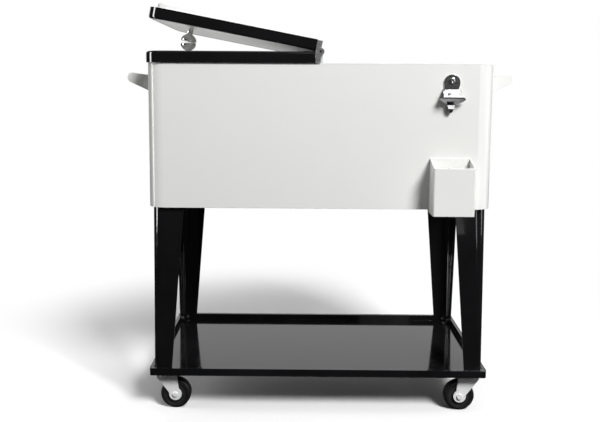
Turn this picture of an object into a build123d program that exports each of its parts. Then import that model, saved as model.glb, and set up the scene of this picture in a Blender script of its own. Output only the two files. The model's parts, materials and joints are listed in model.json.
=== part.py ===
from build123d import *
import math
import os

# A cooler cart: an insulated tub with two lids that fold back over each other, on four sheet
# angle legs, with a shallow shelf below and four swivel casters under the shelf.
# All sizes are millimetres. X runs along the cart, Y from front to back, Z up from the floor.
# The shapes are drawn about the middle of the body and moved once, in save().

# ---- Cooler body
body_length = 740.0
body_depth = 372.0
body_bottom = 460.0
body_top = 769.0
body_corner = 36.0
shell_sheet = 1.5
panel_recess = 12.0
panel_sheet = 1.5
panel_lip = 9.0
panel_fit = 0.3

# ---- Inner tub
tub_wall = 2.5
tub_flange = 2.5
mouth_margin = 9.5
mouth_depth = 13.0
ledge_width = 10.0
tub_floor_foam = 20.0
tub_floor_round = 10.0
foam_fit = 0.2

# ---- Legs
leg_sheet = 2.5
leg_corner_top = 28.0
leg_corner_bottom = 8.0
leg_flange_top = 70.0
leg_flange_bottom = 38.0
leg_inset = 8.0
leg_tab = 34.0

# ---- Shelf
shelf_beyond_ends = 0.5
shelf_beyond_sides = 3.0
shelf_rim_height = 16.5
shelf_rim_width = 8.0
shelf_sheet = 2.0
shelf_corner = 7.0
shelf_corner_inside = 2.0
leg_to_rim = 1.2

# ---- Bolts and screws
leg_bolt_radius = 2.5
leg_bolt_head_radius = 4.0
leg_bolt_head_height = 3.0
leg_bolt_offset = 14.5
leg_bolt_drop = 6.0
leg_bolt_into_rim = 2.5
tab_bolt_radius = 3.0
tab_bolt_head_radius = 5.8
tab_bolt_head_height = 4.0
tab_bolt_above_panel = 5.0
hole_gap = 0.2
pocket_gap = 0.4
screw_radius = 2.3
screw_head_radius = 4.2
screw_head_height = 2.4
screw_into_foam = 8.0

# ---- Casters
wheel_radius = 33.5
wheel_width = 22.0
tyre_thickness = 9.0
tyre_round = 5.0
core_width = 17.0
hub_radius = 9.0
tyre_fit = 0.1
caster_inset_x = 25.0
caster_inset_y = 36.0
caster_trail = 27.5
axle_radius = 3.0
axle_head_radius = 6.0
axle_head_height = 3.5
running_gap = 0.05
wheel_side_gap = 0.6
fork_sheet = 2.5
fork_boss_radius = 14.0
fork_neck_radius = 9.0
fork_top_back = 14.0
fork_top_front = 31.0
fork_bridge_sheet = 2.5
crown_radius = 16.0
crown_height = 6.5
race_radius = 17.5
race_height = 6.0
race_slope = 4.0
wheel_to_crown = 6.1
swivel_gap = 0.4
stem_radius = 4.0
stem_head_radius = 7.5
stem_head_height = 4.0
stem_nut_width = 13.0
stem_nut_height = 4.3
stem_tail = 2.5

# ---- Lids
lid_gap = 0.4
lid_height = 24.0
lid_overhang = 3.7
lid_wall = 3.0
lid_band = 7.0
lid_ledge = 5.0
lid_ledge_sheet = 2.0
lid_edge_round = 5.0
lid_end_round = 2.0
lid_panel_sheet = 1.5
lid_panel_drop = 0.5
lid_piece_gap = 0.3
liner_sheet = 2.0
plug_inset = 15.0
plug_depth = 12.0
plug_edge_round = 4.0

# ---- Lid hinge
hinge_drop = 0.5
hinge_pin_radius = 3.0
knuckle_radius = 7.5
knuckle_gap = 0.5
leaf_sheet = 2.5
leaf_gap = 1.0
leaf_top_drop = 1.0
cheek_length = 8.0
cheek_rise = 0.5
bar_knuckle_length = 20.0
middle_knuckle_length = 14.0
bar_half_width = 17.0
bar_web_half_width = 5.0
bar_beam_half_width = 10.0
bar_beam_depth = 18.0
bar_fit = 0.3
leaf_screw_spacing = 70.0
leaf_screw_head_height = 1.6
leaf_screw_drop = 14.0

# ---- Lid knobs
knob_reach = 308.0
knob_height = 28.5
knob_neck_radius = 6.7
knob_neck_height = 7.5
knob_head_radius = 18.3
knob_head_height = 25.0
knob_belly_radius = 16.2
knob_belly_height = 18.5
knob_under_radius = 11.4
knob_under_height = 13.4
knob_dome_radius = 120.0
knob_dome_reach = 15.0
knob_touch_gap = 0.3
knob_stud_length = 12.0

# ---- End handles
handle_span = 190.0
handle_reach = 59.0
handle_base_bottom = 705.0
handle_base_top = 742.0
handle_tip_height = 738.0
handle_tip_radius = 11.0
handle_cheek = 8.0
handle_foot_length = 22.0
handle_foot_sheet = 3.0
handle_screw_spacing = 22.0
grip_radius = 9.5
grip_pin_radius = 4.0
grip_pin_length = 5.0

# ---- Bottle opener
opener_x = 276.0
opener_z = 734.4
opener_disc_radius = 17.3
opener_disc_drop = 4.2
opener_plate = 3.0
opener_foot_radius = 7.0
opener_foot_drop = 56.0
hood_sheet = 2.5
hood_top_drop = 17.5
hood_edge_drop = 31.0
hood_lip_drop = 35.0
hood_top_width = 38.0
hood_edge_width = 42.0
hood_lip_width = 44.0
hood_reach = 27.0
skirt_width = 57.0
skirt_top_reach = 14.5
skirt_tip_drop = 39.3
skirt_bottom_reach = 10.5
skirt_bottom_drop = 50.0
skirt_notch = 1.2
tooth_offset = 3.0
tooth_radius = 8.0
tooth_tip_radius = 3.5
tooth_reach = 13.0
tooth_top_drop = 43.0
tooth_bend_drop = 51.0
tooth_bottom_drop = 67.4
opener_screw_radius = 3.0
opener_screw_head_radius = 6.0
opener_screw_head_height = 3.0

# ---- Cap catcher
catcher_x = 277.0
catcher_width = 86.0
catcher_depth = 52.0
catcher_bottom = 454.0
catcher_back_top = 570.0
catcher_front_top = 554.0
catcher_sheet = 2.0
catcher_corner = 3.0
catcher_screw_spacing = 55.0
catcher_screw_drop = 22.0

# ---- Drain
drain_x = 250.0
drain_rise = 27.0
drain_bore_radius = 7.0
drain_tube_radius = 10.0
drain_flange_radius = 14.0
drain_flange = 2.0
drain_collar = 3.0
drain_nose = 9.0
cap_gap = 0.4
cap_wall = 3.0
cap_end = 2.6

# ---- Sizes that follow from the ones above
half_length = body_length / 2
half_depth = body_depth / 2
panel_bottom = body_bottom + panel_recess
panel_top = panel_bottom + panel_sheet
mouth_ledge = body_top - mouth_depth
tub_outer_bottom = panel_top + tub_floor_foam
tub_floor = tub_outer_bottom + tub_wall
cavity_margin = mouth_margin + ledge_width
lid_bottom = body_top + lid_gap
lid_top = lid_bottom + lid_height
lid_reach = half_length + lid_overhang
lid_half_depth = half_depth + lid_overhang
lid_corner = body_corner + lid_overhang
lid_start = knuckle_radius + leaf_gap + leaf_sheet
hinge_height = lid_top - hinge_drop
cheek_depth = hinge_height - lid_bottom - cheek_rise
panel_face = lid_top - lid_panel_drop
dome_centre_above_axis = panel_face + knob_height - knob_dome_radius - hinge_height
lid_lean = math.degrees(
    math.asin(
        (knob_dome_radius + knob_touch_gap / 2)
        / math.hypot(knob_reach, dome_centre_above_axis)
    )
    + math.atan2(dome_centre_above_axis, knob_reach)
)
lid_fold = 180.0 - 2 * lid_lean
shelf_length = body_length + 2 * shelf_beyond_ends
shelf_depth = body_depth + 2 * shelf_beyond_sides
crown_bottom = 2 * wheel_radius + wheel_to_crown
crown_top = crown_bottom + crown_height
race_bottom = crown_top + swivel_gap
shelf_bottom = race_bottom + race_height
shelf_floor = shelf_bottom + shelf_sheet
shelf_top = shelf_bottom + shelf_rim_height
shelf_half_length = shelf_length / 2
shelf_half_depth = shelf_depth / 2
drain_z = tub_floor + drain_rise
drain_back = half_depth + drain_collar + drain_nose + cap_gap + cap_end
caster_x = shelf_half_length - caster_inset_x
caster_y = shelf_half_depth - caster_inset_y
front_reach = half_depth + catcher_depth
frame_shift = (front_reach - drain_back) / 2

os.makedirs("parts", exist_ok=True)


def save(name, *solids):
    """Write one node, moved so that the origin is on the floor under the middle of the cart."""
    placed = [Pos(0, frame_shift, 0) * solid for solid in solids]
    export_step(placed[0] if len(placed) == 1 else Compound(placed), f"parts/{name}.step")


def slab(outline, low, high):
    """A flat outline made solid between two heights."""
    return Pos(0, 0, low) * extrude(outline, high - low)


def box(x_range, y_range, z_range):
    """A box between stated limits."""
    low = (x_range[0], y_range[0], z_range[0])
    high = (x_range[1], y_range[1], z_range[1])
    centre = [(a + b) / 2 for a, b in zip(low, high)]
    return Pos(*centre) * Box(*[b - a for a, b in zip(low, high)])


def rod_along_y(x, z, radius, y_low, y_high):
    """A round rod that lies along Y."""
    return Pos(x, (y_low + y_high) / 2, z) * Rot(90, 0, 0) * Cylinder(radius, y_high - y_low)


def rod_along_x(y, z, radius, x_low, x_high):
    """A round rod that lies along X."""
    return Pos((x_low + x_high) / 2, y, z) * Rot(0, 90, 0) * Cylinder(radius, x_high - x_low)


def rod_up(x, y, radius, z_low, z_high):
    """A round rod that stands up."""
    return Pos(x, y, (z_low + z_high) / 2) * Cylinder(radius, z_high - z_low)


def hex_up(x, y, width, z_low, z_high):
    """A hexagon nut or bolt head that stands up, with its width across the flats."""
    outline = RegularPolygon(width / 2, 6, major_radius=False)
    return Pos(x, y, 0) * slab(outline, z_low, z_high)


def body_outline(margin):
    """The body's rounded outline, drawn in by a margin."""
    return RectangleRounded(
        body_length - 2 * margin, body_depth - 2 * margin, body_corner - margin
    )


def corners():
    """The four corners of the cart, as a name and the signs of X and Y."""
    return [
        ("front_left", -1, -1),
        ("front_right", 1, -1),
        ("rear_left", -1, 1),
        ("rear_right", 1, 1),
    ]


def ends():
    """The two ends of the cart, as a name and the sign of X."""
    return [("left", -1), ("right", 1)]


# ---- Body shells

handle_foot_y = handle_span / 2 - handle_cheek - (handle_foot_length - handle_cheek) / 2
handle_screw_middle = (handle_base_bottom + handle_base_top) / 2
handle_screw_heights = [
    handle_screw_middle - handle_screw_spacing / 2,
    handle_screw_middle + handle_screw_spacing / 2,
]
catcher_screw_heights = [
    catcher_back_top - catcher_screw_drop,
    catcher_back_top - catcher_screw_drop - catcher_screw_spacing,
]


def handle_screw_places():
    """Side, Y and Z of every screw that holds an end handle."""
    return [
        (side, y, z)
        for _, side in ends()
        for y in (-handle_foot_y, handle_foot_y)
        for z in handle_screw_heights
    ]


def wall_holes(gap):
    """Every hole that a fastener or the drain needs through the body's wall."""
    cuts = []
    for side, y, z in handle_screw_places():
        tip = side * (half_length - screw_into_foam)
        face = side * (half_length + 1)
        cuts.append(rod_along_x(y, z, screw_radius + gap, min(tip, face), max(tip, face)))
    for z in catcher_screw_heights:
        cuts.append(front_rod(catcher_x, z, screw_radius + gap, screw_into_foam))
    cuts.append(front_rod(opener_x, opener_z, opener_screw_radius + gap, screw_into_foam))
    cuts.append(
        rod_along_y(drain_x, drain_z, drain_tube_radius + gap, 0, half_depth + 1)
    )
    return cuts


def front_rod(x, z, radius, depth):
    """A rod that enters the body's front wall to a depth, and ends 1 mm ahead of it."""
    return rod_along_y(x, z, radius, -half_depth - 1, -half_depth + depth)


def make_outer_shell():
    outer = slab(body_outline(0), body_bottom, body_top - tub_flange)
    inner = slab(body_outline(shell_sheet), body_bottom, body_top - tub_flange)
    return outer - inner - wall_holes(hole_gap)


def make_bottom_panel():
    margin = shell_sheet + panel_fit
    plate = slab(body_outline(margin), panel_bottom - panel_lip, panel_top)
    hollow = slab(body_outline(margin + panel_sheet), panel_bottom - panel_lip, panel_bottom)
    panel = plate - hollow
    for _, x_sign, y_sign in corners():
        x, y = tab_bolt_place(x_sign, y_sign)
        panel -= rod_up(x, y, tab_bolt_radius + hole_gap, panel_bottom, panel_top)
    return panel


def tub_outside(gap):
    """The outer shape of the tub below its flange, grown by a gap."""
    wall = slab(
        body_outline(cavity_margin - tub_wall - gap), tub_outer_bottom - gap, mouth_ledge
    )
    rim = slab(
        body_outline(mouth_margin - tub_wall - gap),
        mouth_ledge - tub_wall - gap,
        body_top - tub_flange,
    )
    wall = fillet(wall.edges().group_by(Axis.Z)[0], tub_floor_round + tub_wall)
    return wall + rim


def make_inner_tub():
    flange = slab(body_outline(0), body_top - tub_flange, body_top)
    mouth = slab(body_outline(mouth_margin), mouth_ledge, body_top)
    cavity = slab(body_outline(cavity_margin), tub_floor, mouth_ledge)
    cavity = fillet(cavity.edges().group_by(Axis.Z)[0], tub_floor_round)
    drain_hole = rod_along_y(
        drain_x, drain_z, drain_tube_radius + hole_gap, 0, half_depth
    )
    return tub_outside(0) + flange - mouth - cavity - drain_hole


def make_insulation():
    block = slab(
        body_outline(shell_sheet + foam_fit), panel_top, body_top - tub_flange
    )
    foam = block - tub_outside(foam_fit) - wall_holes(pocket_gap)
    for _, x_sign, y_sign in corners():
        x, y = tab_bolt_place(x_sign, y_sign)
        pocket_top = panel_top + tab_bolt_above_panel + pocket_gap
        foam -= rod_up(x, y, tab_bolt_radius + pocket_gap, panel_top, pocket_top)
    return foam


# ---- Drain


def make_drain_spout():
    tub_face = half_depth - cavity_margin
    collar_end = half_depth + drain_collar
    spout = rod_along_y(
        drain_x, drain_z, drain_tube_radius, tub_face - drain_flange, collar_end + drain_nose
    )
    flange = rod_along_y(
        drain_x, drain_z, drain_flange_radius, tub_face - drain_flange, tub_face
    )
    collar = rod_along_y(
        drain_x, drain_z, drain_flange_radius, half_depth, collar_end
    )
    bore = rod_along_y(
        drain_x, drain_z, drain_bore_radius, tub_face - drain_flange, collar_end + drain_nose
    )
    return spout + flange + collar - bore


def make_drain_cap():
    start = half_depth + drain_collar + cap_gap
    hollow_end = half_depth + drain_collar + drain_nose + cap_gap
    inner = drain_tube_radius + cap_gap
    outside = rod_along_y(drain_x, drain_z, inner + cap_wall, start, drain_back)
    return outside - rod_along_y(drain_x, drain_z, inner, start, hollow_end)


# ---- Legs and shelf


def leg_outer(z):
    """How far out a leg's two outer faces stand at a height, measured along X and Y."""
    low_x = shelf_half_length - shelf_rim_width - leg_to_rim
    low_y = shelf_half_depth - shelf_rim_width - leg_to_rim
    share = (z - shelf_floor) / (panel_bottom - shelf_floor)
    return (
        low_x + (half_length - leg_inset - low_x) * share,
        low_y + (half_depth - leg_inset - low_y) * share,
    )


def leg_section(z, flange, corner):
    """The angle section of a rear right leg at one height, with the bend's outer radius."""
    x, y = leg_outer(z)
    inner = corner - leg_sheet
    outline = [
        Line((x - flange, y), (x - corner, y)),
        RadiusArc((x - corner, y), (x, y - corner), corner),
        Line((x, y - corner), (x, y - flange)),
        Line((x, y - flange), (x - leg_sheet, y - flange)),
        Line((x - leg_sheet, y - flange), (x - leg_sheet, y - corner)),
        RadiusArc((x - leg_sheet, y - corner), (x - corner, y - leg_sheet), -inner),
        Line((x - corner, y - leg_sheet), (x - flange, y - leg_sheet)),
        Line((x - flange, y - leg_sheet), (x - flange, y)),
    ]
    return Pos(0, 0, z) * make_face(outline)


def tab_bolt_place(x_sign, y_sign):
    """Where the bolt through a leg's top tab stands."""
    x, y = leg_outer(panel_bottom)
    middle = leg_sheet + leg_tab / 2
    return x_sign * (x - middle), y_sign * (y - middle)


def leg_bolt_height():
    return shelf_top - leg_bolt_drop


def make_leg(x_sign, y_sign):
    angle = loft(
        [
            leg_section(shelf_floor, leg_flange_bottom, leg_corner_bottom),
            leg_section(panel_bottom, leg_flange_top, leg_corner_top),
        ],
        ruled=True,
    )
    x, y = leg_outer(panel_bottom)
    lap = leg_sheet / 2
    side = leg_tab + lap
    tab = Pos(x - lap - side / 2, y - lap - side / 2) * Rectangle(side, side)
    outer_corner = max(tab.vertices(), key=lambda vertex: vertex.X + vertex.Y)
    tab = fillet(outer_corner, leg_corner_top - lap)
    bolt_x, bolt_y = tab_bolt_place(1, 1)
    leg = angle + slab(tab, panel_bottom - leg_sheet, panel_bottom)
    leg -= rod_up(
        bolt_x, bolt_y, tab_bolt_radius + hole_gap, panel_bottom - leg_sheet, panel_bottom
    )
    low_x, low_y = leg_outer(leg_bolt_height())
    reach = 2 * leg_sheet
    leg -= rod_along_y(
        low_x - leg_bolt_offset, leg_bolt_height(), leg_bolt_radius + hole_gap, low_y - reach, low_y + 1
    )
    leg -= rod_along_x(
        low_y - leg_bolt_offset, leg_bolt_height(), leg_bolt_radius + hole_gap, low_x - reach, low_x + 1
    )
    if x_sign < 0:
        leg = mirror(leg, about=Plane.YZ)
    if y_sign < 0:
        leg = mirror(leg, about=Plane.XZ)
    return leg


def shelf_outline(margin):
    corner = max(shelf_corner - margin, shelf_corner_inside)
    return RectangleRounded(shelf_length - 2 * margin, shelf_depth - 2 * margin, corner)


def make_shelf():
    tray = slab(shelf_outline(0), shelf_bottom, shelf_top)
    well = slab(shelf_outline(shelf_rim_width), shelf_floor, shelf_top)
    channel = slab(
        shelf_outline(shelf_sheet), shelf_bottom, shelf_top - shelf_sheet
    ) - slab(
        shelf_outline(shelf_rim_width - shelf_sheet), shelf_bottom, shelf_top - shelf_sheet
    )
    shelf = tray - well - channel
    x, y = leg_outer(leg_bolt_height())
    for _, x_sign, y_sign in corners():
        stem_x, stem_y = x_sign * caster_x, y_sign * caster_y
        shelf -= rod_up(stem_x, stem_y, stem_radius + hole_gap, shelf_bottom, shelf_floor)
        wall_x = shelf_half_length - shelf_rim_width
        wall_y = shelf_half_depth - shelf_rim_width
        low, high = sorted((y_sign * (wall_y - 1), y_sign * (wall_y + shelf_sheet + 1)))
        shelf -= rod_along_y(
            x_sign * (x - leg_bolt_offset), leg_bolt_height(), leg_bolt_radius + hole_gap, low, high
        )
        low, high = sorted((x_sign * (wall_x - 1), x_sign * (wall_x + shelf_sheet + 1)))
        shelf -= rod_along_x(
            y_sign * (y - leg_bolt_offset), leg_bolt_height(), leg_bolt_radius + hole_gap, low, high
        )
    return shelf


def make_leg_bolts():
    """The bolts through the legs' top tabs, and two through the foot of each leg."""
    bolts = []
    z = leg_bolt_height()
    x, y = leg_outer(z)
    tip_x = shelf_half_length - shelf_rim_width + shelf_sheet + leg_bolt_into_rim
    tip_y = shelf_half_depth - shelf_rim_width + shelf_sheet + leg_bolt_into_rim
    seat = leg_sheet + pocket_gap
    for _, x_sign, y_sign in corners():
        tab_x, tab_y = tab_bolt_place(x_sign, y_sign)
        tab_bottom = panel_bottom - leg_sheet
        head = hex_up(
            tab_x, tab_y, 2 * tab_bolt_head_radius, tab_bottom - tab_bolt_head_height, tab_bottom
        )
        shank = rod_up(
            tab_x, tab_y, tab_bolt_radius, tab_bottom, panel_top + tab_bolt_above_panel
        )
        bolts.append(head + shank)
        along_y = sorted((y_sign * (y - seat), y_sign * tip_y))
        head_y = sorted((y_sign * (y - seat), y_sign * (y - seat - leg_bolt_head_height)))
        bolt_x = x_sign * (x - leg_bolt_offset)
        bolts.append(
            rod_along_y(bolt_x, z, leg_bolt_radius, *along_y)
            + rod_along_y(bolt_x, z, leg_bolt_head_radius, *head_y)
        )
        along_x = sorted((x_sign * (x - seat), x_sign * tip_x))
        head_x = sorted((x_sign * (x - seat), x_sign * (x - seat - leg_bolt_head_height)))
        bolt_y = y_sign * (y - leg_bolt_offset)
        bolts.append(
            rod_along_x(bolt_y, z, leg_bolt_radius, *along_x)
            + rod_along_x(bolt_y, z, leg_bolt_head_radius, *head_x)
        )
    return bolts


# ---- Casters. Each is drawn at its swivel axis, with its wheel trailing along +X.

stem_head_top = crown_bottom - swivel_gap
cheek_inner = wheel_width / 2 + wheel_side_gap
cheek_outer = cheek_inner + fork_sheet


def make_caster_stem():
    """The pin, its head below the fork, the upper race and the nut above the shelf."""
    race = rod_up(0, 0, race_radius, race_bottom, shelf_bottom)
    race = chamfer(race.edges().group_by(Axis.Z)[0], race_slope)
    head = rod_up(0, 0, stem_head_radius, stem_head_top - stem_head_height, stem_head_top)
    nut_top = shelf_floor + stem_nut_height
    pin = rod_up(0, 0, stem_radius, stem_head_top, nut_top + stem_tail)
    nut = hex_up(0, 0, stem_nut_width, shelf_floor, nut_top)
    return pin + race + head + nut


def fork_cheek(y_low, y_high):
    """One side of the fork: a plate that narrows from the crown to a round boss at the axle."""
    top_length = fork_top_back + fork_top_front
    top = Pos(
        (fork_top_front - fork_top_back) / 2, (crown_bottom + crown_top) / 2
    ) * Rectangle(top_length, crown_height)
    neck = Pos(caster_trail, wheel_radius) * Circle(fork_neck_radius)
    boss = Pos(caster_trail, wheel_radius) * Circle(fork_boss_radius)
    outline = make_hull(top.edges() + neck.edges()) + boss
    plate = extrude(Plane.XZ * outline, y_high - y_low)
    return Pos(0, y_high, 0) * plate


def make_caster_fork():
    crown = rod_up(0, 0, crown_radius, crown_bottom, crown_top)
    bridge = box(
        (0, fork_top_front), (-cheek_outer, cheek_outer), (crown_top - fork_bridge_sheet, crown_top)
    )
    fork = crown + bridge
    fork += fork_cheek(cheek_inner, cheek_outer)
    fork += fork_cheek(-cheek_outer, -cheek_inner)
    fork -= rod_up(0, 0, stem_radius + running_gap, crown_bottom, crown_top)
    fork -= rod_along_y(
        caster_trail, wheel_radius, axle_radius + running_gap, -cheek_outer, cheek_outer
    )
    return fork


def make_caster_axle():
    """The axle bolt, with a domed head at the front and a nut at the back."""
    ends_at = cheek_outer + axle_head_height
    shaft = rod_along_y(caster_trail, wheel_radius, axle_radius, -cheek_outer, ends_at)
    head = rod_along_y(caster_trail, wheel_radius, axle_head_radius, -ends_at, -cheek_outer)
    head = fillet(head.edges().group_by(Axis.Y)[0], axle_head_height / 2)
    nut = rod_along_y(caster_trail, wheel_radius, axle_head_radius, cheek_outer, ends_at)
    return shaft + head + nut


def wheel_turned(profile):
    """A profile of radius and width, turned about the axle."""
    turned = revolve(Plane.XZ * profile, Axis.Z)
    return Pos(caster_trail, 0, wheel_radius) * Rot(90, 0, 0) * turned


def make_caster_tyre():
    inner = wheel_radius - tyre_thickness
    section = Pos((inner + wheel_radius) / 2, 0) * Rectangle(tyre_thickness, wheel_width)
    section = fillet(section.vertices().group_by(Axis.X)[-1], tyre_round)
    return wheel_turned(section)


def make_caster_core():
    core_radius = wheel_radius - tyre_thickness - tyre_fit
    disc = Pos(core_radius / 2, 0) * Rectangle(core_radius, core_width)
    hub = Pos(hub_radius / 2, 0) * Rectangle(hub_radius, wheel_width)
    bore = Rectangle(2 * (axle_radius + running_gap), wheel_width)
    return wheel_turned(disc + hub - bore)


def place_caster(shape, x_sign, y_sign):
    """Turn a caster so that its wheel trails towards the middle, and set it under the shelf."""
    turn = 180 if x_sign > 0 else 0
    return Pos(x_sign * caster_x, y_sign * caster_y, 0) * Rot(0, 0, turn) * shape


# ---- Lids, drawn closed on the right


def lid_outline(inset):
    """The lid's outline, drawn in by an inset: round at the far end, nearly square at the hinge."""
    length = lid_reach - lid_start - 2 * inset
    depth = 2 * (lid_half_depth - inset)
    outline = Pos((lid_reach + lid_start) / 2, 0) * Rectangle(length, depth)
    far = outline.vertices().group_by(Axis.X)[-1]
    return fillet(far, lid_corner - inset)


def make_lid_rim():
    block = slab(lid_outline(0), lid_bottom, lid_top)
    top_edges = block.edges().group_by(Axis.Z)[-1].filter_by(
        lambda edge: edge.center().X > lid_start + 1
    )
    block = fillet(top_edges, lid_edge_round)
    recess = slab(lid_outline(lid_band), panel_face - lid_panel_sheet, lid_top)
    window = slab(lid_outline(lid_band + lid_ledge), lid_bottom, lid_top)
    below = slab(
        lid_outline(lid_wall), lid_bottom, panel_face - lid_panel_sheet - lid_ledge_sheet
    )
    rim = block - recess - window - below
    for y in leaf_screw_places():
        rim -= rod_along_x(
            y, leaf_screw_height(), screw_radius + hole_gap, lid_start - 1, lid_start + lid_wall + 1
        )
    return rim


def make_lid_panel():
    panel = slab(
        lid_outline(lid_band + lid_piece_gap), panel_face - lid_panel_sheet, panel_face
    )
    hole = screw_radius + hole_gap
    return panel - rod_up(knob_reach, 0, hole, panel_face - lid_panel_sheet, panel_face)


def make_lid_liner():
    plate = slab(lid_outline(lid_wall + lid_piece_gap), lid_bottom, lid_bottom + liner_sheet)
    plug = slab(lid_outline(plug_inset), lid_bottom - plug_depth, lid_bottom)
    plug = fillet(plug.edges().group_by(Axis.Z)[0], plug_edge_round)
    hollow = slab(
        lid_outline(plug_inset + liner_sheet),
        lid_bottom - plug_depth + liner_sheet,
        lid_bottom + liner_sheet,
    )
    return plate + plug - hollow


def make_lid_foam():
    under_panel = panel_face - lid_panel_sheet
    upper = slab(
        lid_outline(lid_band + lid_ledge + lid_piece_gap), lid_bottom + liner_sheet, under_panel
    )
    lower = slab(
        lid_outline(plug_inset + liner_sheet + lid_piece_gap),
        lid_bottom - plug_depth + liner_sheet,
        lid_bottom + liner_sheet,
    )
    pocket = rod_up(
        knob_reach,
        0,
        screw_head_radius + pocket_gap,
        under_panel - screw_head_height - pocket_gap,
        under_panel,
    )
    return upper + lower - pocket


def make_knob():
    """A turned mushroom knob with a shallow domed top, standing on the lid's panel."""
    dome_fall = knob_dome_radius - math.sqrt(knob_dome_radius**2 - knob_dome_reach**2)
    shoulder = knob_height - dome_fall
    half_reach = knob_dome_reach / 2
    half_fall = knob_dome_radius - math.sqrt(knob_dome_radius**2 - half_reach**2)
    dome = ThreePointArc(
        (0, knob_height), (half_reach, knob_height - half_fall), (knob_dome_reach, shoulder)
    )
    brim_lean = math.sqrt(0.5)
    brim = ThreePointArc(
        (knob_dome_reach, shoulder),
        (
            knob_dome_reach + (knob_head_radius - knob_dome_reach) * brim_lean,
            knob_head_height + (shoulder - knob_head_height) * brim_lean,
        ),
        (knob_head_radius, knob_head_height),
    )
    belly = Spline(
        (knob_head_radius, knob_head_height),
        (knob_belly_radius, knob_belly_height),
        (knob_under_radius, knob_under_height),
        (knob_neck_radius, knob_neck_height),
        tangents=[(0, -1), (0, -1)],
    )
    outline = [
        dome,
        brim,
        belly,
        Line((knob_neck_radius, knob_neck_height), (knob_neck_radius, 0)),
        Line((knob_neck_radius, 0), (0, 0)),
        Line((0, 0), (0, knob_height)),
    ]
    knob = revolve(Plane.XZ * make_face(outline), Axis.Z)
    knob -= rod_up(0, 0, screw_radius + running_gap, 0, knob_stud_length + pocket_gap)
    return Pos(knob_reach, 0, panel_face) * knob


# ---- Hinge between the lids

leaf_face = lid_start - leaf_sheet


def leaf_screw_height():
    return hinge_height - leaf_screw_drop


def leaf_screw_places():
    """Y of the screws that hold a leaf to its lid, clear of the knuckles."""
    steps = (-1.5, -0.5, 0.5, 1.5)
    return [step * leaf_screw_spacing for step in steps]


def knuckle(y_low, y_high):
    return rod_along_y(0, hinge_height, knuckle_radius, y_low, y_high)


def end_knuckle_starts():
    """Where the outer and the inner end knuckles start, counted in from a lid's edge."""
    outer = lid_half_depth - cheek_length
    inner = outer - knuckle_gap - cheek_length
    return outer, inner


def bar_knuckle_spans():
    """The three stretches of the pin that the centre bar holds."""
    _, inner = end_knuckle_starts()
    far = inner - knuckle_gap
    half = middle_knuckle_length / 2
    return [
        (-far, -far + bar_knuckle_length),
        (-half, half),
        (far - bar_knuckle_length, far),
    ]


def cheek(y_low, y_high):
    """An end knuckle with a deep cheek that closes the gap between the lids."""
    low = hinge_height - cheek_depth
    top = hinge_height - leaf_top_drop
    return knuckle(y_low, y_high) + box((0, lid_start), (y_low, y_high), (low, top))


def make_hinge_leaf(front_is_outer):
    """The leaf on the right lid, with an outer cheek at one end and an inner one at the other."""
    outer, inner = end_knuckle_starts()
    outer_span = (outer, outer + cheek_length)
    inner_span = (inner, inner + cheek_length)
    front = outer_span if front_is_outer else inner_span
    back = inner_span if front_is_outer else outer_span
    half = middle_knuckle_length / 2 + knuckle_gap
    middle = (half, half + middle_knuckle_length)
    if front_is_outer:
        middle = (-middle[1], -middle[0])
    arm_low = hinge_height - knuckle_radius
    arm_top = hinge_height - leaf_top_drop
    leaf = box(
        (leaf_face, lid_start),
        (-front[1], back[1]),
        (hinge_height - cheek_depth, arm_top),
    )
    leaf += cheek(-front[1], -front[0])
    leaf += cheek(*back)
    leaf += knuckle(*middle) + box((0, lid_start), middle, (arm_low, arm_top))
    bore = hinge_pin_radius + running_gap
    leaf -= rod_along_y(0, hinge_height, bore, -lid_half_depth, lid_half_depth)
    for y in leaf_screw_places():
        leaf -= rod_along_x(
            y, leaf_screw_height(), screw_radius + hole_gap, leaf_face, lid_start
        )
    return leaf


def make_lid_screws():
    """The knob's screw from inside the lid, and the screws that hold the leaf."""
    under_panel = panel_face - lid_panel_sheet
    knob_screw = rod_up(
        knob_reach, 0, screw_head_radius, under_panel - screw_head_height, under_panel
    ) + rod_up(knob_reach, 0, screw_radius, under_panel, panel_face + knob_stud_length)
    screws = [knob_screw]
    z = leaf_screw_height()
    for y in leaf_screw_places():
        head = rod_along_x(
            y, z, screw_head_radius, leaf_face - leaf_screw_head_height, leaf_face
        )
        shank = rod_along_x(y, z, screw_radius, leaf_face, lid_start + lid_wall + 1)
        screws.append(head + shank)
    return screws


def make_hinge_bar():
    """The bar across the tub's mouth that carries the pin, with a beam below it."""
    mouth_half = half_depth - mouth_margin - bar_fit
    cavity_half = half_depth - cavity_margin - bar_fit
    bar = box((-bar_half_width, bar_half_width), (-mouth_half, mouth_half), (mouth_ledge, body_top))
    bar += box(
        (-bar_beam_half_width, bar_beam_half_width),
        (-cavity_half, cavity_half),
        (mouth_ledge - bar_beam_depth, mouth_ledge),
    )
    for low, high in bar_knuckle_spans():
        bar += knuckle(low, high)
        bar += box(
            (-bar_web_half_width, bar_web_half_width), (low, high), (body_top, hinge_height)
        )
    bore = hinge_pin_radius + running_gap
    return bar - rod_along_y(0, hinge_height, bore, -lid_half_depth, lid_half_depth)


def make_hinge_pin():
    end = lid_half_depth - knuckle_gap
    return rod_along_y(0, hinge_height, hinge_pin_radius, -end, end)


hinge_line = Axis((0, 0, hinge_height), (0, 1, 0))


def fold_back(shape):
    """Turn a closed right lid's piece up and over to rest above the left lid."""
    return shape.rotate(hinge_line, -lid_fold)


# ---- End handles

tip_x = half_length + handle_reach - handle_tip_radius


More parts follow.
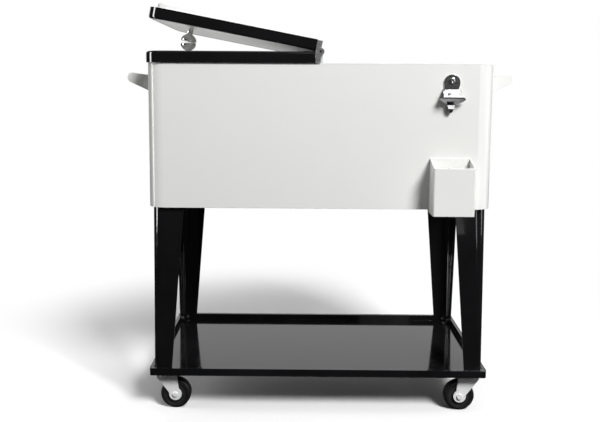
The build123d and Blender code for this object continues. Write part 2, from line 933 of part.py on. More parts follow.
def make_handle_bracket(x_sign, y_sign):
    """A cheek that narrows to a round tip, with a foot screwed to the body's end."""
    outer_y = handle_span / 2
    base = Pos(
        half_length + handle_foot_sheet / 2, (handle_base_bottom + handle_base_top) / 2
    ) * Rectangle(handle_foot_sheet, handle_base_top - handle_base_bottom)
    tip = Pos(tip_x, handle_tip_height) * Circle(handle_tip_radius)
    outline = make_hull(base.edges() + tip.edges())
    bracket = Pos(0, outer_y, 0) * extrude(Plane.XZ * outline, handle_cheek)
    bracket += box(
        (half_length, half_length + handle_foot_sheet),
        (outer_y - handle_foot_length, outer_y),
        (handle_base_bottom, handle_base_top),
    )
    inner_y = outer_y - handle_cheek
    bracket -= rod_along_y(
        tip_x,
        handle_tip_height,
        grip_pin_radius + running_gap,
        inner_y,
        inner_y + grip_pin_length + pocket_gap,
    )
    for z in handle_screw_heights:
        bracket -= rod_along_x(
            handle_foot_y, z, screw_radius + hole_gap, half_length, half_length + handle_foot_sheet
        )
    if x_sign < 0:
        bracket = mirror(bracket, about=Plane.YZ)
    if y_sign < 0:
        bracket = mirror(bracket, about=Plane.XZ)
    return bracket


def make_handle_grip(x_sign):
    half = handle_span / 2 - handle_cheek
    x = x_sign * tip_x
    grip = rod_along_y(x, handle_tip_height, grip_radius, -half, half)
    end = half + grip_pin_length
    return grip + rod_along_y(x, handle_tip_height, grip_pin_radius, -end, end)


def make_handle_screws():
    screws = []
    for side, y, z in handle_screw_places():
        face = half_length + handle_foot_sheet
        tip = half_length - screw_into_foam + pocket_gap
        shank = sorted((side * tip, side * face))
        head = sorted((side * face, side * (face + screw_head_height)))
        screws.append(
            rod_along_x(y, z, screw_radius, *shank) + rod_along_x(y, z, screw_head_radius, *head)
        )
    return screws


# ---- Bottle opener and cap catcher


def opener_hood():
    """A roof with a lip, and a leaning skirt below it: a side profile cut to a front outline."""
    lip_inner = hood_reach - hood_sheet
    under_drop = hood_lip_drop + hood_sheet
    profile = make_face(
        Polyline(
            (0, -hood_top_drop),
            (-hood_reach + 1, -hood_edge_drop),
            (-hood_reach, -hood_lip_drop),
            (-skirt_top_reach, -under_drop),
            (-skirt_bottom_reach, -skirt_bottom_drop),
            (-skirt_bottom_reach + hood_sheet, -skirt_bottom_drop),
            (-skirt_top_reach + hood_sheet, -under_drop + hood_sheet / 3),
            (-lip_inner, -hood_lip_drop + hood_sheet),
            (0, -hood_top_drop - hood_sheet * 1.5),
            (0, -hood_top_drop),
        )
    )
    body = extrude(Plane.YZ * profile, skirt_width / 2, both=True)
    top = hood_top_width / 2
    edge = hood_edge_width / 2
    lip = hood_lip_width / 2
    tip = skirt_width / 2
    outline = make_face(
        [
            Polyline(
                (-tip, -skirt_tip_drop),
                (-lip, -hood_lip_drop),
                (-edge, -hood_edge_drop),
                (-top, -hood_top_drop),
                (top, -hood_top_drop),
                (edge, -hood_edge_drop),
                (lip, -hood_lip_drop),
                (tip, -skirt_tip_drop),
            ),
            ThreePointArc(
                (tip, -skirt_tip_drop), (0, -skirt_bottom_drop), (-tip, -skirt_tip_drop)
            ),
        ]
    )
    notch_half = tooth_radius + skirt_notch
    notch = box(
        (-tooth_offset - notch_half, -tooth_offset + notch_half),
        (-skirt_top_reach - 1, 0),
        (-skirt_bottom_drop, -tooth_top_drop),
    )
    return (body & extrude(Plane.XZ * outline, hood_reach)) - notch


def opener_tooth():
    """The hooked tooth that lifts the cap: a wedge with a round tip."""
    side = make_face(
        Polyline(
            (0, -tooth_top_drop),
            (-tooth_reach + 2, -tooth_bend_drop),
            (-tooth_reach, -(tooth_bend_drop + tooth_bottom_drop) / 2),
            (-tooth_reach + 4, -tooth_bottom_drop),
            (0, -tooth_bottom_drop + 5),
            (0, -tooth_top_drop),
        )
    )
    wedge = extrude(Plane.YZ * side, tooth_radius, both=True)
    top = Pos(0, -tooth_top_drop) * Rectangle(2 * tooth_radius, 1)
    bend = Pos(0, -tooth_bend_drop) * Circle(tooth_radius)
    tip = Pos(0, -tooth_bottom_drop + tooth_tip_radius) * Circle(tooth_tip_radius)
    outline = make_hull(top.edges() + bend.edges() + tip.edges())
    return Pos(-tooth_offset, 0, 0) * (wedge & extrude(Plane.XZ * outline, tooth_reach))


def make_bottle_opener():
    """A disc and foot against the body, a hood with a skirt, and a tooth that lifts the cap."""
    disc = Pos(0, -opener_disc_drop) * Circle(opener_disc_radius)
    foot = Pos(-tooth_offset, -opener_foot_drop) * Circle(opener_foot_radius)
    plate = extrude(Plane.XZ * make_hull(disc.edges() + foot.edges()), opener_plate)
    opener = plate + opener_hood() + opener_tooth()
    opener -= rod_along_y(0, 0, opener_screw_radius + hole_gap, -opener_plate, 0)
    return Pos(opener_x, -half_depth, opener_z) * opener


def make_opener_screw():
    face = -half_depth - opener_plate
    inner = -half_depth + screw_into_foam - pocket_gap
    head = rod_along_y(
        opener_x, opener_z, opener_screw_head_radius, face - opener_screw_head_height, face
    )
    head = fillet(head.edges().group_by(Axis.Y)[0], opener_screw_head_height / 2)
    return head + rod_along_y(opener_x, opener_z, opener_screw_radius, face, inner)


def make_cap_catcher():
    """An open box with its side walls sloping down from the back to the front."""
    middle_y = -half_depth - catcher_depth / 2
    outer = Pos(catcher_x, middle_y) * Rectangle(catcher_width, catcher_depth)
    outer = fillet(outer.vertices().group_by(Axis.Y)[0], catcher_corner)
    inner = Pos(catcher_x, middle_y) * Rectangle(
        catcher_width - 2 * catcher_sheet, catcher_depth - 2 * catcher_sheet
    )
    inner = fillet(inner.vertices().group_by(Axis.Y)[0], catcher_corner - catcher_sheet)
    catcher = slab(outer, catcher_bottom, catcher_back_top)
    catcher -= slab(inner, catcher_bottom + catcher_sheet, catcher_back_top)
    slope = make_face(
        Polyline(
            (-half_depth - catcher_sheet, catcher_back_top),
            (-half_depth - catcher_depth, catcher_front_top),
            (-half_depth - catcher_depth, catcher_back_top),
            (-half_depth - catcher_sheet, catcher_back_top),
        )
    )
    catcher -= Pos(catcher_x - catcher_width / 2, 0, 0) * extrude(Plane.YZ * slope, catcher_width)
    for z in catcher_screw_heights:
        catcher -= rod_along_y(
            catcher_x, z, screw_radius + hole_gap, -half_depth - catcher_sheet, -half_depth
        )
    return catcher


def make_catcher_screws():
    face = -half_depth - catcher_sheet
    inner = -half_depth + screw_into_foam - pocket_gap
    screws = []
    for z in catcher_screw_heights:
        head = rod_along_y(catcher_x, z, screw_head_radius, face - screw_head_height, face)
        screws.append(head + rod_along_y(catcher_x, z, screw_radius, face, inner))
    return screws


# ---- Every node of the cart

save("outer_shell", make_outer_shell())
save("inner_tub", make_inner_tub())
save("insulation", make_insulation())
save("bottom_panel", make_bottom_panel())
save("drain_spout", make_drain_spout())
save("drain_cap", make_drain_cap())
save("shelf", make_shelf())
save("leg_bolts", *make_leg_bolts())
for name, x_sign, y_sign in corners():
    save(f"{name}_leg", make_leg(x_sign, y_sign))
    for piece, shape in (
        ("stem", make_caster_stem()),
        ("fork", make_caster_fork()),
        ("axle", make_caster_axle()),
        ("core", make_caster_core()),
        ("tyre", make_caster_tyre()),
    ):
        save(f"{name}_caster_{piece}", place_caster(shape, x_sign, y_sign))

save("hinge_bar", make_hinge_bar())
save("hinge_pin", make_hinge_pin())
for name, side in ends():
    pieces = [
        ("rim", [make_lid_rim()]),
        ("panel", [make_lid_panel()]),
        ("foam", [make_lid_foam()]),
        ("liner", [make_lid_liner()]),
        ("knob", [make_knob()]),
        ("hinge_leaf", [make_hinge_leaf(side < 0)]),
        ("screws", make_lid_screws()),
    ]
    for piece, shapes in pieces:
        if side < 0:
            placed = [mirror(shape, about=Plane.YZ) for shape in shapes]
        else:
            placed = [fold_back(shape) for shape in shapes]
        save(f"{name}_lid_{piece}", *placed)
    save(f"{name}_handle_front_bracket", make_handle_bracket(side, -1))
    save(f"{name}_handle_rear_bracket", make_handle_bracket(side, 1))
    save(f"{name}_handle_grip", make_handle_grip(side))

save("handle_screws", *make_handle_screws())
save("bottle_opener", make_bottle_opener())
save("opener_screw", make_opener_screw())
save("cap_catcher", make_cap_catcher())
save("catcher_screws", *make_catcher_screws())
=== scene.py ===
import json
import math

import bmesh
import bpy
from mathutils import Matrix, Vector


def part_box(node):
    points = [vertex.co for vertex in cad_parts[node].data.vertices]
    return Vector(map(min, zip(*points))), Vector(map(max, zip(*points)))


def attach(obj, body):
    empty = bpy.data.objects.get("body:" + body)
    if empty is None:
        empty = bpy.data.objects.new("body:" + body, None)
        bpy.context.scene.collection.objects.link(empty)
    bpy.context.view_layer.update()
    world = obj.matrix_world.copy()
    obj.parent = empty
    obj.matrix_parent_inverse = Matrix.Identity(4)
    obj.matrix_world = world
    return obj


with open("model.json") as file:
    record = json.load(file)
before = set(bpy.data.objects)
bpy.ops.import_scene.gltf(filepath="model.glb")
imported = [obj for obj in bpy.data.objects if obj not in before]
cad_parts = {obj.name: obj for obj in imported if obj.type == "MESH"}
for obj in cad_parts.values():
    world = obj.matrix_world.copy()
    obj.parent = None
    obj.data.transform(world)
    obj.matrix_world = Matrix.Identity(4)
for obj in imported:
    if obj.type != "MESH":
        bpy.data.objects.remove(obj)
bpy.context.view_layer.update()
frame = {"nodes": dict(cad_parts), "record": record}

NODES = frame["nodes"]
CORNERS = ("front_left", "front_right", "rear_left", "rear_right")
SIDES = ("left", "right")
MM = 0.001


# ---- Node materials: every one mixes procedural colour, roughness and relief


def new_material(name):
    material = bpy.data.materials.new(name)
    material.use_nodes = True
    tree = material.node_tree
    tree.nodes.clear()
    output = tree.nodes.new("ShaderNodeOutputMaterial")
    shader = tree.nodes.new("ShaderNodeBsdfPrincipled")
    tree.links.new(shader.outputs["BSDF"], output.inputs["Surface"])
    coords = tree.nodes.new("ShaderNodeTexCoord").outputs["Object"]
    return material, tree, shader, coords


def noise(tree, coords, scale, detail=3.0, roughness=0.5, stretch=None):
    if stretch:
        mapping = tree.nodes.new("ShaderNodeMapping")
        mapping.inputs["Scale"].default_value = stretch
        tree.links.new(coords, mapping.inputs["Vector"])
        coords = mapping.outputs["Vector"]
    node = tree.nodes.new("ShaderNodeTexNoise")
    node.inputs["Scale"].default_value = scale
    node.inputs["Detail"].default_value = detail
    node.inputs["Roughness"].default_value = roughness
    tree.links.new(coords, node.inputs["Vector"])
    return node.outputs["Fac"]


def ramp(tree, factor, low, high, start=0.3, end=0.7):
    node = tree.nodes.new("ShaderNodeValToRGB")
    first, last = node.color_ramp.elements
    first.position = start
    last.position = end
    first.color = (*low, 1.0)
    last.color = (*high, 1.0)
    tree.links.new(factor, node.inputs["Fac"])
    return node.outputs["Color"]


def spread(tree, factor, low, high, start=0.3, end=0.7):
    node = tree.nodes.new("ShaderNodeMapRange")
    node.inputs["From Min"].default_value = start
    node.inputs["From Max"].default_value = end
    node.inputs["To Min"].default_value = low
    node.inputs["To Max"].default_value = high
    tree.links.new(factor, node.inputs["Value"])
    return node.outputs["Result"]


def math_node(tree, operation, a, b):
    node = tree.nodes.new("ShaderNodeMath")
    node.operation = operation
    node.use_clamp = True
    for socket, value in zip(node.inputs, (a, b)):
        if isinstance(value, (int, float)):
            socket.default_value = value
        else:
            tree.links.new(value, socket)
    return node.outputs["Value"]


def mix_colour(tree, factor, a, b):
    node = tree.nodes.new("ShaderNodeMix")
    node.data_type = "RGBA"
    tree.links.new(factor, node.inputs["Factor"])
    for socket, value in ((node.inputs[6], a), (node.inputs[7], b)):
        if isinstance(value, tuple):
            socket.default_value = (*value, 1.0)
        else:
            tree.links.new(value, socket)
    return node.outputs[2]


def bevel_normal(tree, radius):
    node = tree.nodes.new("ShaderNodeBevel")
    node.samples = 4
    node.inputs["Radius"].default_value = radius
    return node.outputs["Normal"]


def relief(tree, shader, height, strength, distance, normal=None):
    node = tree.nodes.new("ShaderNodeBump")
    node.inputs["Strength"].default_value = strength
    node.inputs["Distance"].default_value = distance
    tree.links.new(height, node.inputs["Height"])
    if normal:
        tree.links.new(normal, node.inputs["Normal"])
    tree.links.new(node.outputs["Normal"], shader.inputs["Normal"])


def edge_mask(tree, normal):
    """Near 1 on worn edges and 0 on flats."""
    geometry = tree.nodes.new("ShaderNodeNewGeometry")
    dot = tree.nodes.new("ShaderNodeVectorMath")
    dot.operation = "DOT_PRODUCT"
    tree.links.new(normal, dot.inputs[0])
    tree.links.new(geometry.outputs["Normal"], dot.inputs[1])
    return spread(tree, dot.outputs["Value"], 1.0, 0.0, 0.86, 0.99)


def coated(
    name, tones, roughness, grain, relief_mm, edge_tone, coat=0.0, metallic=0.0, bevel_mm=0.8,
    blotch=9.0, specular=0.5, wear=0.5, coat_roughness=0.04,
):
    """Paint or moulded plastic: blotchy tone, grainy relief and a slightly different tone on its edges."""
    material, tree, shader, coords = new_material(name)
    cloud = noise(tree, coords, blotch, 4.0, 0.55)
    fine = noise(tree, coords, grain, 2.0, 0.5)
    colour = ramp(tree, cloud, *tones)
    normal = bevel_normal(tree, bevel_mm * MM)
    edges = edge_mask(tree, normal)
    patchy = spread(tree, noise(tree, coords, 160.0, 5.0, 0.7), 0.0, wear, 0.42, 0.62)
    worn = math_node(tree, "MULTIPLY", edges, patchy)
    colour = mix_colour(tree, worn, colour, edge_tone)
    tree.links.new(colour, shader.inputs["Base Color"])
    smudge = noise(tree, coords, 23.0, 5.0, 0.65)
    tree.links.new(spread(tree, smudge, *roughness), shader.inputs["Roughness"])
    shader.inputs["Metallic"].default_value = metallic
    shader.inputs["Specular IOR Level"].default_value = specular
    shader.inputs["Coat Weight"].default_value = coat
    shader.inputs["Coat Roughness"].default_value = coat_roughness
    relief(tree, shader, fine, 0.35, relief_mm * MM, normal)
    return material


def brushed(name, tones, roughness, stretch, relief_mm, bevel_mm=0.5):
    """Plated or brushed metal: streaks, cloudy tone and soft edges."""
    material, tree, shader, coords = new_material(name)
    streaks = noise(tree, coords, 1.0, 4.0, 0.6, stretch)
    cloud = noise(tree, coords, 60.0, 5.0, 0.6)
    tree.links.new(ramp(tree, cloud, *tones), shader.inputs["Base Color"])
    rough = spread(tree, streaks, *roughness)
    tree.links.new(rough, shader.inputs["Roughness"])
    shader.inputs["Metallic"].default_value = 1.0
    relief(tree, shader, streaks, 0.3, relief_mm * MM, bevel_normal(tree, bevel_mm * MM))
    return material


def cellular(name, tones, scale):
    """Rigid foam: a skin of small closed cells."""
    material, tree, shader, coords = new_material(name)
    cells = tree.nodes.new("ShaderNodeTexVoronoi")
    cells.inputs["Scale"].default_value = scale
    tree.links.new(coords, cells.inputs["Vector"])
    distance = cells.outputs["Distance"]
    tree.links.new(ramp(tree, distance, *tones, 0.05, 0.6), shader.inputs["Base Color"])
    tree.links.new(spread(tree, distance, 0.75, 0.95), shader.inputs["Roughness"])
    relief(tree, shader, distance, 0.6, 0.4 * MM)
    return material


WHITE_PAINT = coated(
    "white_powder_coat", ((0.838, 0.840, 0.816), (0.848, 0.850, 0.826)), (0.24, 0.265), 620.0, 0.02,
    (0.74, 0.74, 0.73), coat=0.25, bevel_mm=1.2, wear=0.15, coat_roughness=0.08,
)
BLACK_PAINT = coated(
    "black_gloss_enamel", ((0.004, 0.004, 0.0045), (0.008, 0.008, 0.009)), (0.06, 0.14), 480.0, 0.02,
    (0.05, 0.05, 0.052), coat=0.5, bevel_mm=1.0, wear=0.5, coat_roughness=0.03,
)
BLACK_RIM = coated(
    "black_gloss_moulding", ((0.005, 0.005, 0.0055), (0.009, 0.009, 0.010)), (0.05, 0.12), 700.0, 0.015,
    (0.03, 0.03, 0.03), coat=0.6, bevel_mm=0.8, wear=0.4, coat_roughness=0.02,
)
WHITE_PLASTIC = coated(
    "white_moulded_liner", ((0.78, 0.78, 0.77), (0.83, 0.83, 0.82)), (0.30, 0.42), 1100.0, 0.04,
    (0.88, 0.88, 0.87), bevel_mm=1.0, wear=0.3,
)
GREY_PLASTIC = coated(
    "light_grey_moulding", ((0.52, 0.53, 0.54), (0.60, 0.61, 0.62)), (0.30, 0.42), 1300.0, 0.04,
    (0.72, 0.73, 0.74), bevel_mm=0.6, wear=0.5,
)
HANDLE_PLASTIC = coated(
    "handle_grey_moulding", ((0.50, 0.51, 0.52), (0.58, 0.59, 0.60)), (0.34, 0.46), 900.0, 0.05,
    (0.70, 0.71, 0.72), bevel_mm=1.0, wear=0.4,
)
WHEEL_PLASTIC = coated(
    "wheel_core_moulding", ((0.018, 0.018, 0.019), (0.03, 0.03, 0.031)), (0.32, 0.45), 800.0, 0.05,
    (0.09, 0.09, 0.09), bevel_mm=0.6, wear=0.5,
)
RUBBER = coated(
    "tyre_rubber", ((0.006, 0.006, 0.0065), (0.014, 0.014, 0.015)), (0.38, 0.6), 1000.0, 0.08,
    (0.05, 0.05, 0.05), bevel_mm=0.6, wear=0.6, blotch=40.0,
)
CAP_PLASTIC = coated(
    "drain_cap_moulding", ((0.012, 0.012, 0.013), (0.022, 0.022, 0.024)), (0.30, 0.42), 900.0, 0.05,
    (0.08, 0.08, 0.08), bevel_mm=0.6, wear=0.5,
)
ZINC = brushed(
    "zinc_plate", ((0.62, 0.63, 0.64), (0.74, 0.75, 0.76)), (0.20, 0.36), (300.0, 300.0, 900.0), 0.02
)
GALVANISED = brushed(
    "galvanised_sheet", ((0.50, 0.51, 0.52), (0.66, 0.67, 0.68)), (0.32, 0.5), (40.0, 500.0, 500.0), 0.03
)
CHROME = brushed(
    "chrome_plate", ((0.80, 0.80, 0.81), (0.86, 0.86, 0.87)), (0.03, 0.08), (200.0, 200.0, 700.0), 0.004, 0.4
)
STEEL_PIN = brushed(
    "bright_steel", ((0.60, 0.60, 0.61), (0.70, 0.70, 0.71)), (0.15, 0.28), (900.0, 60.0, 900.0), 0.01
)
OPENER_PLATE = brushed(
    "opener_plate", ((0.60, 0.60, 0.61), (0.70, 0.70, 0.71)), (0.16, 0.26), (300.0, 300.0, 500.0), 0.01, 0.8
)
FORK_ZINC = coated(
    "bright_zinc_fork", ((0.84, 0.84, 0.84), (0.90, 0.90, 0.90)), (0.24, 0.36), 700.0, 0.03,
    (0.92, 0.92, 0.92), coat=0.2, bevel_mm=0.8, wear=0.6,
)
LEAF_STEEL = brushed(
    "brushed_hinge_steel", ((0.70, 0.70, 0.71), (0.82, 0.82, 0.83)), (0.22, 0.38), (900.0, 40.0, 900.0), 0.02
)
FOAM = cellular("rigid_foam", ((0.86, 0.82, 0.70), (0.93, 0.90, 0.80)), 700.0)


def paint(material, *names):
    for name in names:
        data = NODES[name].data
        data.materials.clear()
        data.materials.append(material)


def caster_nodes(piece):
    return [f"{corner}_caster_{piece}" for corner in CORNERS]


def side_nodes(piece):
    return [f"{side}_{piece}" for side in SIDES]


paint(WHITE_PAINT, "outer_shell", "cap_catcher", *side_nodes("lid_panel"))
paint(
    WHITE_PAINT, *side_nodes("handle_front_bracket"), *side_nodes("handle_rear_bracket")
)
paint(BLACK_PAINT, "shelf", *[f"{corner}_leg" for corner in CORNERS])
paint(BLACK_RIM, *side_nodes("lid_rim"))
paint(WHITE_PLASTIC, "inner_tub", *side_nodes("lid_liner"))
paint(GREY_PLASTIC, "hinge_bar", "drain_spout")
paint(LEAF_STEEL, *side_nodes("lid_hinge_leaf"))
paint(HANDLE_PLASTIC, *side_nodes("handle_grip"))
paint(FOAM, "insulation", *side_nodes("lid_foam"))
paint(GALVANISED, "bottom_panel")
paint(STEEL_PIN, "hinge_pin")
paint(
    ZINC, "leg_bolts", "handle_screws", "opener_screw", "catcher_screws", *side_nodes("lid_screws")
)
paint(BLACK_PAINT, *caster_nodes("stem"))
paint(FORK_ZINC, *caster_nodes("fork"), *caster_nodes("axle"))
paint(CHROME, *side_nodes("lid_knob"))
paint(OPENER_PLATE, "bottle_opener")
paint(RUBBER, *caster_nodes("tyre"))
paint(WHEEL_PLASTIC, *caster_nodes("core"))
paint(CAP_PLASTIC, "drain_cap")


# ---- Details that the bodies carry: screw recesses and tyre mould lines

SPOKES = 64
RING_SEGMENTS = 96
RING_ROUND_STEPS = 8
OPENER_HEAD_RADIUS = 6.0 * MM
SMALL_HEAD_RADIUS = 4.2 * MM
SEAM_THICK = 0.25 * MM
BEAD_THICK = 0.4 * MM
BEAD_SHARE = 0.80


def mesh_piece(name, verts, faces, material, body):
    mesh = bpy.data.meshes.new(name)
    mesh.from_pydata([tuple(vert) for vert in verts], [], faces)
    mesh.materials.append(material)
    item = bpy.data.objects.new(name, mesh)
    bpy.context.scene.collection.objects.link(item)
    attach(item, body)
    return item


def cross_edge(angle, half_width, half_length):
    """How far a cross-shaped recess reaches in this direction."""
    across = max(abs(math.cos(angle)), 1e-6)
    along = max(abs(math.sin(angle)), 1e-6)
    lying = min(half_length / across, half_width / along)
    standing = min(half_width / across, half_length / along)
    return max(lying, standing)


def screw_face(name, centre, facing, radius, material, body, dome=1.0 * MM):
    """A shallow domed cap with a cross recess, on the flat end of a screw head."""
    turn = Vector(facing).to_track_quat("Z", "Y").to_matrix()
    rings = (
        (lambda angle: radius, -0.2 * MM),
        (lambda angle: radius, 0.25 * dome),
        (lambda angle: radius * 0.93, 0.55 * dome),
        (lambda angle: radius * 0.78, 0.85 * dome),
        (lambda angle: cross_edge(angle, radius * 0.13, radius * 0.58), dome),
        (lambda angle: cross_edge(angle, radius * 0.10, radius * 0.46), 0.12 * dome),
    )
    verts = []
    for reach, height in rings:
        for spoke in range(SPOKES):
            angle = 2 * math.pi * spoke / SPOKES
            flat = reach(angle)
            local = Vector((flat * math.cos(angle), flat * math.sin(angle), height))
            verts.append(Vector(centre) + turn @ local)
    faces = []
    for ring in range(len(rings) - 1):
        for spoke in range(SPOKES):
            after = (spoke + 1) % SPOKES
            low = ring * SPOKES
            high = low + SPOKES
            faces.append((low + spoke, low + after, high + after, high + spoke))
    verts.append(Vector(centre) + turn @ Vector((0, 0, 0.12 * dome)))
    last = (len(rings) - 1) * SPOKES
    for spoke in range(SPOKES):
        faces.append((last + spoke, last + (spoke + 1) % SPOKES, len(verts) - 1))
    return mesh_piece(name, verts, faces, material, body)


def ring_piece(name, centre, radius, thick, material, body, slot):
    """A thin moulded line around a wheel whose axle runs along Y at rest."""
    verts = []
    faces = []
    for step in range(RING_SEGMENTS):
        angle = 2 * math.pi * step / RING_SEGMENTS
        for turn in range(RING_ROUND_STEPS):
            swing = 2 * math.pi * turn / RING_ROUND_STEPS
            reach = radius + thick * math.cos(swing)
            verts.append(
                Vector(centre)
                + Vector((reach * math.cos(angle), thick * math.sin(swing), reach * math.sin(angle)))
            )
    for step in range(RING_SEGMENTS):
        for turn in range(RING_ROUND_STEPS):
            here = step * RING_ROUND_STEPS
            there = (step + 1) % RING_SEGMENTS * RING_ROUND_STEPS
            after = (turn + 1) % RING_ROUND_STEPS
            faces.append((here + turn, here + after, there + after, there + turn))
    return mesh_piece(name, verts, faces, material, body)


BODIES = {
    node: body for body, nodes in frame["record"]["behaviour"]["bodies"].items() for node in nodes
}
SLOTS = {item["node"]: item["material_slot"] for item in frame["record"]["subparts"]}


def facing_screws(node, name, facing, columns, rows, radius, material):
    """Caps on a rectangular pattern of equal screws whose heads face one way."""
    low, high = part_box(node)
    axis = 0 if facing[0] else 1
    across = 1 - axis
    front = high[axis] if facing[axis] > 0 else low[axis]
    spots = [(low[across] + high[across]) / 2]
    if columns == 2:
        spots = [low[across] + radius, high[across] - radius]
    heights = [(low.z + high.z) / 2]
    if rows == 2:
        heights = [low.z + radius, high.z - radius]
    for column, spot in enumerate(spots):
        for row, height in enumerate(heights):
            centre = [0.0, 0.0, height]
            centre[axis] = front
            centre[across] = spot
            screw_face(
                f"{name}_{column}_{row}", centre, facing, radius, material, BODIES[node]
            )


facing_screws("opener_screw", "opener_screw_face", (0, -1, 0), 1, 1, OPENER_HEAD_RADIUS, CHROME)
facing_screws("catcher_screws", "catcher_screw_face", (0, -1, 0), 1, 2, SMALL_HEAD_RADIUS, ZINC)
facing_screws("handle_screws", "left_handle_screw_face", (-1, 0, 0), 2, 2, SMALL_HEAD_RADIUS, ZINC)
facing_screws("handle_screws", "right_handle_screw_face", (1, 0, 0), 2, 2, SMALL_HEAD_RADIUS, ZINC)

for corner in CORNERS:
    tyre = f"{corner}_caster_tyre"
    tyre_low, tyre_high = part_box(tyre)
    middle = (tyre_low + tyre_high) / 2
    tyre_radius = (tyre_high.z - tyre_low.z) / 2
    half_width = (tyre_high.y - tyre_low.y) / 2
    carried = (RUBBER, BODIES[tyre], SLOTS[tyre])
    ring_piece(f"{corner}_tyre_seam", middle, tyre_radius, SEAM_THICK, *carried)
    for side, sign in (("inner", -1), ("outer", 1)):
        spot = middle + Vector((0, sign * half_width, 0))
        ring_piece(f"{corner}_tyre_bead_{side}", spot, tyre_radius * BEAD_SHARE, BEAD_THICK, *carried)


# ---- Stage, lights and camera

DISC_SEGMENTS = 96
FLOOR_RADIUS = 30.0
FLOOR_CLEAR_RADIUS = 0.62
FLOOR_GLOW_RADIUS = 1.2
BACKDROP_RADIUS = 32.0
WORLD_STRENGTH = 0.02
OPENER_SPOT = (0.28, -0.2, 0.7)
AIM = (0.0, 0.0, 0.45)


def disc(name, radius):
    mesh = bpy.data.meshes.new(name)
    shape = bmesh.new()
    bmesh.ops.create_circle(shape, cap_ends=True, segments=DISC_SEGMENTS, radius=radius)
    shape.to_mesh(mesh)
    shape.free()
    item = bpy.data.objects.new(name, mesh)
    bpy.context.scene.collection.objects.link(item)
    return item


def floor_material(name, clear_radius, glow_radius):
    """Pale matt floor that brightens to plain white away from the object."""
    material, tree, shader, coords = new_material(name)
    tone = ramp(tree, noise(tree, coords, 3.0, 2.0, 0.5), (0.96, 0.96, 0.96), (0.98, 0.98, 0.98))
    tree.links.new(tone, shader.inputs["Base Color"])
    shader.inputs["Roughness"].default_value = 0.8
    shader.inputs["Specular IOR Level"].default_value = 0.1
    glow = tree.nodes.new("ShaderNodeEmission")
    glow.inputs["Color"].default_value = (1.0, 1.0, 1.0, 1.0)
    length = tree.nodes.new("ShaderNodeVectorMath")
    length.operation = "LENGTH"
    tree.links.new(coords, length.inputs[0])
    blend = tree.nodes.new("ShaderNodeMapRange")
    blend.interpolation_type = "SMOOTHSTEP"
    blend.inputs["From Min"].default_value = clear_radius
    blend.inputs["From Max"].default_value = glow_radius
    tree.links.new(length.outputs["Value"], blend.inputs["Value"])
    mixed = tree.nodes.new("ShaderNodeMixShader")
    tree.links.new(blend.outputs["Result"], mixed.inputs["Fac"])
    tree.links.new(shader.outputs["BSDF"], mixed.inputs[1])
    tree.links.new(glow.outputs["Emission"], mixed.inputs[2])
    output = next(node for node in tree.nodes if node.type == "OUTPUT_MATERIAL")
    tree.links.new(mixed.outputs["Shader"], output.inputs["Surface"])
    return material


def glow_material(name, strength):
    material = bpy.data.materials.new(name)
    material.use_nodes = True
    tree = material.node_tree
    tree.nodes.clear()
    output = tree.nodes.new("ShaderNodeOutputMaterial")
    shader = tree.nodes.new("ShaderNodeEmission")
    shader.inputs["Color"].default_value = (1.0, 1.0, 1.0, 1.0)
    shader.inputs["Strength"].default_value = strength
    tree.links.new(shader.outputs["Emission"], output.inputs["Surface"])
    return material


floor = disc("studio_floor", FLOOR_RADIUS)
floor.data.materials.append(floor_material("studio_floor", FLOOR_CLEAR_RADIUS, FLOOR_GLOW_RADIUS))
floor.visible_diffuse = False
floor.visible_glossy = False

backdrop_mesh = bpy.data.meshes.new("studio_backdrop")
dome = bmesh.new()
bmesh.ops.create_uvsphere(dome, u_segments=64, v_segments=32, radius=BACKDROP_RADIUS)
dome.to_mesh(backdrop_mesh)
dome.free()
backdrop = bpy.data.objects.new("studio_backdrop", backdrop_mesh)
bpy.context.scene.collection.objects.link(backdrop)
backdrop_mesh.materials.append(glow_material("studio_backdrop", 1.0))
for flag in ("visible_diffuse", "visible_glossy", "visible_transmission", "visible_shadow"):
    setattr(backdrop, flag, False)


def card(name, place, size, aim, glow_strength):
    """A white card that shows only in reflections."""
    mesh = bpy.data.meshes.new(name)
    half_w, half_h = size[0] / 2, size[1] / 2
    corners = [(-half_w, -half_h, 0), (half_w, -half_h, 0), (half_w, half_h, 0), (-half_w, half_h, 0)]
    mesh.from_pydata(corners, [], [(0, 1, 2, 3)])
    mesh.materials.append(glow_material(name, glow_strength))
    item = bpy.data.objects.new(name, mesh)
    item.location = place
    item.rotation_euler = (Vector(aim) - Vector(place)).to_track_quat("-Z", "Y").to_euler()
    bpy.context.scene.collection.objects.link(item)
    item.visible_camera = False
    item.visible_diffuse = False
    item.visible_shadow = False
    return item


card("back_card", (0.0, 3.2, 1.6), (7.0, 3.2), (0.0, 0.0, 1.0), 0.7)
card("skirt_card", (0.30, -0.60, 0.38), (0.22, 0.14), OPENER_SPOT, 0.6)
card("lip_card", (0.30, -1.5, 1.4), (0.8, 0.5), OPENER_SPOT, 0.7)


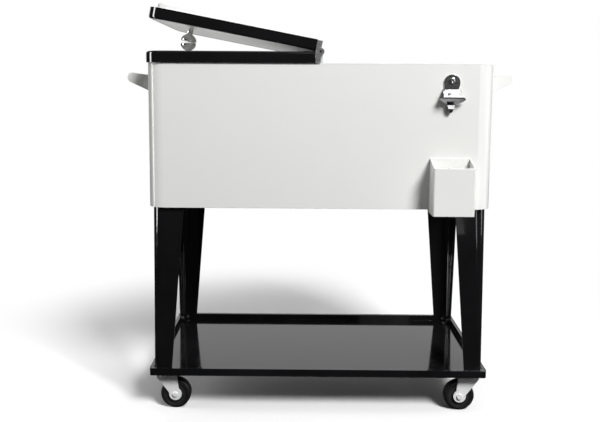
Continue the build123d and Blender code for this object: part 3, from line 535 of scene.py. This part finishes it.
def softbox(name, place, size, power, aim=AIM):
    light = bpy.data.lights.new(name, "AREA")
    light.shape = "RECTANGLE"
    light.size, light.size_y = size
    light.energy = power
    item = bpy.data.objects.new(name, light)
    item.location = place
    item.rotation_euler = (Vector(aim) - Vector(place)).to_track_quat("-Z", "Y").to_euler()
    bpy.context.scene.collection.objects.link(item)
    return item


softbox("key_right", (2.06, -3.16, 3.73), (1.5, 1.5), 308.0)
softbox("left_end", (-2.5, -0.3, 0.9), (0.45, 1.8), 25.0)
softbox("right_strip", (1.7, -2.6, 0.8), (0.35, 2.0), 6.0)
softbox("right_end", (2.4, -0.2, 0.9), (0.4, 1.8), 5.0)
softbox("top", (0.0, 0.2, 3.0), (2.6, 2.6), 14.0)
softbox("back", (0.0, 2.8, 1.4), (3.0, 1.2), 30.0, (0.0, 0.2, 0.1)).visible_glossy = False

world = bpy.data.worlds.new("studio")
world.use_nodes = True
world.node_tree.nodes["Background"].inputs["Color"].default_value = (1.0, 1.0, 1.0, 1.0)
world.node_tree.nodes["Background"].inputs["Strength"].default_value = WORLD_STRENGTH
bpy.context.scene.world = world

FOCAL_PX = 689.467
IMAGE_WIDTH = 600
IMAGE_HEIGHT = 422
SENSOR = 36.0
PITCH = 0.108414
YAW = -0.004963
ROLL = 0.006485
CAMERA_PLACE = (-0.034853, -1.626286, 0.717667)
CENTRE_ROW = 162.73

lens = bpy.data.cameras.new("camera")
lens.sensor_width = SENSOR
lens.lens = FOCAL_PX / IMAGE_WIDTH * SENSOR
lens.shift_y = (CENTRE_ROW - IMAGE_HEIGHT / 2) / IMAGE_WIDTH
camera = bpy.data.objects.new("camera", lens)
bpy.context.scene.collection.objects.link(camera)
forward = Vector(
    (math.sin(YAW) * math.cos(PITCH), math.cos(YAW) * math.cos(PITCH), -math.sin(PITCH))
)
level = Vector((math.cos(YAW), -math.sin(YAW), 0.0))
upright = level.cross(forward)
right = level * math.cos(ROLL) + upright * math.sin(ROLL)
up = upright * math.cos(ROLL) - level * math.sin(ROLL)
turn = Matrix((right, up, -forward)).transposed()
camera.matrix_world = Matrix.Translation(CAMERA_PLACE) @ turn.to_4x4()
bpy.context.scene.camera = camera
bpy.context.scene.view_settings.view_transform = "Standard"
